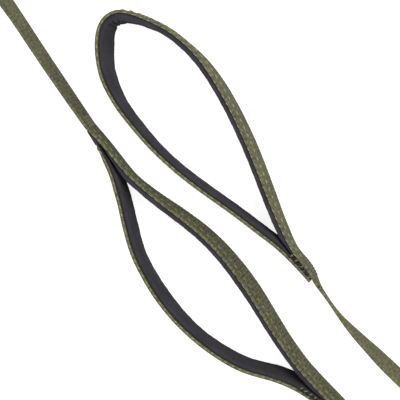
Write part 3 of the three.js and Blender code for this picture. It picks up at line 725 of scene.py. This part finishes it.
ARC = np.linspace(-1, 1, 7)  # along one stitch, from end to end


def stitch_row(track, start, end, side, face_size, edge_size):
    """Stitches on a web's outer face, and the same thread where it comes over the top edge. The
    ends of each go down into the web. Returns their paths and radii. The two sizes scale the
    thread on the face and on the edge."""
    centres = np.arange(start + STITCH_PITCH / 2, end, STITCH_PITCH)[:, None]
    wander = unevenness(9 * centres, 0.0)
    length = STITCH_LENGTH * (1 + 0.12 * wander)
    along = centres + ARC * length / 2
    face_radius = THREAD_RADIUS * face_size
    across = side * (WEB_THICKNESS / 2 + face_radius * (0.35 - 1.2 * ARC ** 4))
    on_face = track.at(along, across + 0 * along, STITCH_HEIGHT + 0.0002 * wander + 0 * along)
    edge_radius = THREAD_RADIUS * edge_size
    over_edge = track.at(along + STITCH_PITCH / 2, -side * (0.0005 + 0.0002 * ARC) + 0 * along,
                         WEB_WIDTH / 2 + edge_radius * (0.45 - 1.3 * ARC ** 4) + 0 * along)
    sizes = np.repeat([face_radius, edge_radius], len(centres))
    return np.concatenate([on_face, over_edge]), sizes


def stitch_piece(name, track, ends, side, face_size, edge_size, node):
    paths, sizes = stitch_row(track, *ends, side, face_size, edge_size)
    piece = threads(name, paths, sizes, LIGHT_THREAD, "sling")
    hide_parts(node)


end_row_ends = (long_track.mark(point_at(END_LOOP, -0.072)),
                long_track.mark(point_at(END_LOOP[::-1], -0.080)))
stitch_piece("main_stitches", long_track, main_pad_ends, side=1,
             face_size=0.5, edge_size=0.3, node="middle_loop_main_thread")
stitch_piece("second_stitches", second_track, second_pad_ends, side=-1,
             face_size=1, edge_size=0.55, node="middle_loop_second_thread")
stitch_piece("end_stitches", long_track, end_row_ends, side=-1,
             face_size=1, edge_size=0.5, node="end_loop_thread")

TACK_THREAD = 0.00028        # radius
TACK_HALF_HEIGHT = 0.009
TACK_ROW = 0.0021            # from one row to the next
TACK_SPACING = 0.0006        # from one thread to the next in a row


def bar_tack(name, start, end, side, material):
    """A dense zigzag of thread on one face of the long web, in rows that run up its width."""
    rows = []
    heights = np.arange(-TACK_HALF_HEIGHT, TACK_HALF_HEIGHT, TACK_SPACING)[:, None]
    bulge = side * (WEB_THICKNESS / 2 + TACK_THREAD * (1.1 - ARC ** 4))
    for left in np.arange(start, end - TACK_ROW / 2, TACK_ROW):
        along = left + TACK_ROW * (0.5 + 0.47 * ARC) + 0 * heights
        slanted = heights + TACK_SPACING * 0.8 * ARC
        rows.append(long_track.at(along, bulge + 0 * along, slanted))
    piece = threads("stitched_" + name, np.concatenate(rows), TACK_THREAD, material, "sling",
                    6)
    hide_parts(name)


for name, first, last, side, material, slot in (
    ("tack_at_snap", FLAP[1], FLAP[3], -1, BLACK_THREAD, "black_thread"),
    ("tack_at_tail_fork", TAIL[-2], MIDDLE_MAIN[0], 1, OLIVE_THREAD, "olive_thread"),
    ("tack_at_strap_fork", MIDDLE_MAIN[-3], MIDDLE_MAIN[-2], 1, BLACK_THREAD, "black_thread"),
    ("tack_at_end_loop", END_LOOP[1], END_LOOP[4], -1, OLIVE_THREAD, "olive_thread"),
):
    bar_tack(name, long_track.mark(first), long_track.mark(last), side, material)

WHIP_THREAD = 0.0005         # radius
WHIP_RISE = 0.0006           # of a loop over the edges


def whip_stitches(name, track, start, end, spacing, reach, slant, material):
    """Loops of thread that stand over the top edges where two arms are sewn together. reach is
    the distance across that each loop spans at the start and at the end. The loops are uneven in
    their spacing, reach and slant."""
    even = np.arange(start, end, spacing)[:, None]
    centres = even + 0.3 * spacing * unevenness(17 * even, 0.0)
    near, far = (np.interp(centres, [start, end], side) for side in zip(*reach))
    half = (far - near) / 2 * (1 + 0.25 * unevenness(23 * centres, 0.0))
    across = (near + far) / 2 + half * ARC
    along = centres + slant * (1 + 0.8 * unevenness(41 * centres, 0.0)) * ARC / 2
    rise = WHIP_RISE * (1 - ARC ** 2) * (1 + 0.3 * unevenness(31 * centres, 0.0))
    paths = track.at(along, across, WEB_WIDTH / 2 - 0.0001 + rise)
    threads(name, paths, WHIP_THREAD, material, "sling")


fork_start = second_track.mark(point_at(MIDDLE_SECOND, -0.139))
fork_end = second_track.mark(point_at(MIDDLE_SECOND, -0.166))
whip_stitches("black_whip_at_strap_fork", second_track, fork_start, fork_end,
              spacing=0.0017, reach=[(0.0004, 0.0026), (0.0004, 0.0026)], slant=0.0016,
              material=BLACK_THREAD)
whip_stitches("olive_whip_at_strap_fork", second_track, fork_start + 0.0008, fork_end,
              spacing=0.0034, reach=[(0.0022, 0.0040), (0.0014, 0.0030)], slant=0.0016,
              material=OLIVE_THREAD)
loop_closes = long_track.mark(point_at(END_LOOP[::-1], -0.065))
loop_ends = long_track.along[-1] - 0.0015
whip_stitches("black_whip_at_end_loop", long_track, loop_closes, loop_ends,
              spacing=0.0014, reach=[(0.0008, 0.0042), (0.0006, 0.0024)], slant=0.0016,
              material=BLACK_THREAD)
whip_stitches("olive_whip_at_end_loop", long_track, loop_closes + 0.0011, loop_ends,
              spacing=0.0041, reach=[(0.0014, 0.0044), (0.0006, 0.0022)], slant=0.0018,
              material=OLIVE_THREAD)

# ---------------------------------------------------------------- metal pieces


def apply_modifiers(piece):
    """Makes a piece's modifiers part of its mesh."""
    bpy.context.view_layer.update()
    shape = piece.evaluated_get(bpy.context.evaluated_depsgraph_get())
    mesh = bpy.data.meshes.new_from_object(shape)
    piece.modifiers.clear()
    piece.data = mesh


CAST_VOXEL = 0.00033
BEVEL_WIDTH = 0.00018
BEVELLED_ANGLE = 40          # degrees
SHARP_ANGLE = 35


def metal_piece(name, node, body, material, cast=False):
    """Stands for a CAD node. A cast piece is blended and softened, a turned one gets bevels."""
    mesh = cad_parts[node].data.copy()
    mesh.materials.clear()
    piece = bpy.data.objects.new(name, mesh)
    bpy.context.scene.collection.objects.link(piece)
    if cast:
        skin = piece.modifiers.new("skin", "REMESH")
        skin.mode = "VOXEL"
        skin.voxel_size = CAST_VOXEL
        soften = piece.modifiers.new("soften", "SMOOTH")
        soften.factor = 0.5
        soften.iterations = 7
    else:
        weld = piece.modifiers.new("weld", "WELD")
        weld.merge_threshold = 0.00001
        bevel = piece.modifiers.new("bevel", "BEVEL")
        bevel.width = BEVEL_WIDTH
        bevel.segments = 3
        bevel.limit_method = "ANGLE"
        bevel.angle_limit = math.radians(BEVELLED_ANGLE)
    apply_modifiers(piece)
    piece.data.materials.append(material)
    piece.data.polygons.foreach_set("use_smooth", [True] * len(piece.data.polygons))
    if not cast:
        piece.data.set_sharp_from_angle(angle=math.radians(SHARP_ANGLE))
    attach(piece, body)
    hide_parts(node)


metal_piece("eye", "swivel_eye", "eye", CAST_METAL, cast=True)
metal_piece("washer", "swivel_washer", "eye", BRIGHT_METAL)
metal_piece("hook_body", "snap_body", "snap", CAST_METAL, cast=True)
metal_piece("stud", "swivel_stud", "snap", BRIGHT_METAL)
metal_piece("plug", "barrel_plug", "snap", BRIGHT_METAL)
metal_piece("bolt", "latch_bolt", "latch", BRIGHT_METAL)
metal_piece("knob", "thumb_knob", "latch", BRIGHT_METAL)


def coil_spring():
    """The return spring inside the barrel."""
    low, high = (Vector(corner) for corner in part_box("bolt_spring"))
    wire, turns, travel = 0.00025, 9, 0.008
    radius = (high.z - low.z) / 2 - wire
    angles = np.linspace(0, 2 * math.pi * turns, 24 * turns + 1)
    x = np.linspace(low.x + wire, high.x - wire, len(angles))
    y = (low.y + high.y) / 2 + radius * np.cos(angles)
    z = (low.z + high.z) / 2 + radius * np.sin(angles)
    path = np.stack([x, y, z], axis=-1)[None]
    spring = threads("return_spring", path, wire, BRIGHT_METAL, "snap")
    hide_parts("bolt_spring")
    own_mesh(spring)


coil_spring()

# ---------------------------------------------------------------- floor and light

def pale_floor():
    """Near white to the camera. It throws little light back up at the sling."""
    s = Shader("pale_floor", Roughness=1.0, Specular_IOR_Level=0.0)
    position = s.add("NewGeometry", output="Position")
    tone = s.spread(s.noise(position, 3, 2), 0.3, 0.7)
    seen = s.add("LightPath", output="Is Camera Ray")
    colour = s.mixed(tone, (0.54, 0.54, 0.54), (0.56, 0.56, 0.56))
    glow = s.math("MULTIPLY", seen, 0.8)
    s.base.inputs["Emission Color"].default_value = (1, 1, 1, 1)
    return s.finish(Base_Color=colour, Emission_Strength=glow)


def make_floor():
    half = 6.0
    mesh = bpy.data.meshes.new("floor")
    mesh.from_pydata([(-half, -half, 0), (half, -half, 0), (half, half, 0), (-half, half, 0)], [],
                     [(0, 1, 2, 3)])
    mesh.materials.append(pale_floor())
    floor = bpy.data.objects.new("floor", mesh)
    bpy.context.scene.collection.objects.link(floor)


def soft_light(name, place, size, power):
    """A square lamp that faces the origin."""
    data = bpy.data.lights.new(name, "AREA")
    data.size = size
    data.energy = power
    lamp = bpy.data.objects.new(name, data)
    bpy.context.scene.collection.objects.link(lamp)
    lamp.location = place
    lamp.rotation_euler = (-Vector(place)).to_track_quat("-Z", "Y").to_euler()


def make_light():
    world = bpy.data.worlds.new("studio")
    world.use_nodes = True
    surroundings = world.node_tree.nodes["Background"]
    surroundings.inputs["Color"].default_value = (1, 1, 1, 1)
    surroundings.inputs["Strength"].default_value = 0.82
    bpy.context.scene.world = world
    bpy.context.scene.view_settings.view_transform = "Standard"
    soft_light("front", place=(-0.2, -1.4, 1.7), size=1.0, power=26)
    soft_light("top", place=(0.1, 0.2, 2.2), size=1.6, power=4)


make_floor()
make_light()
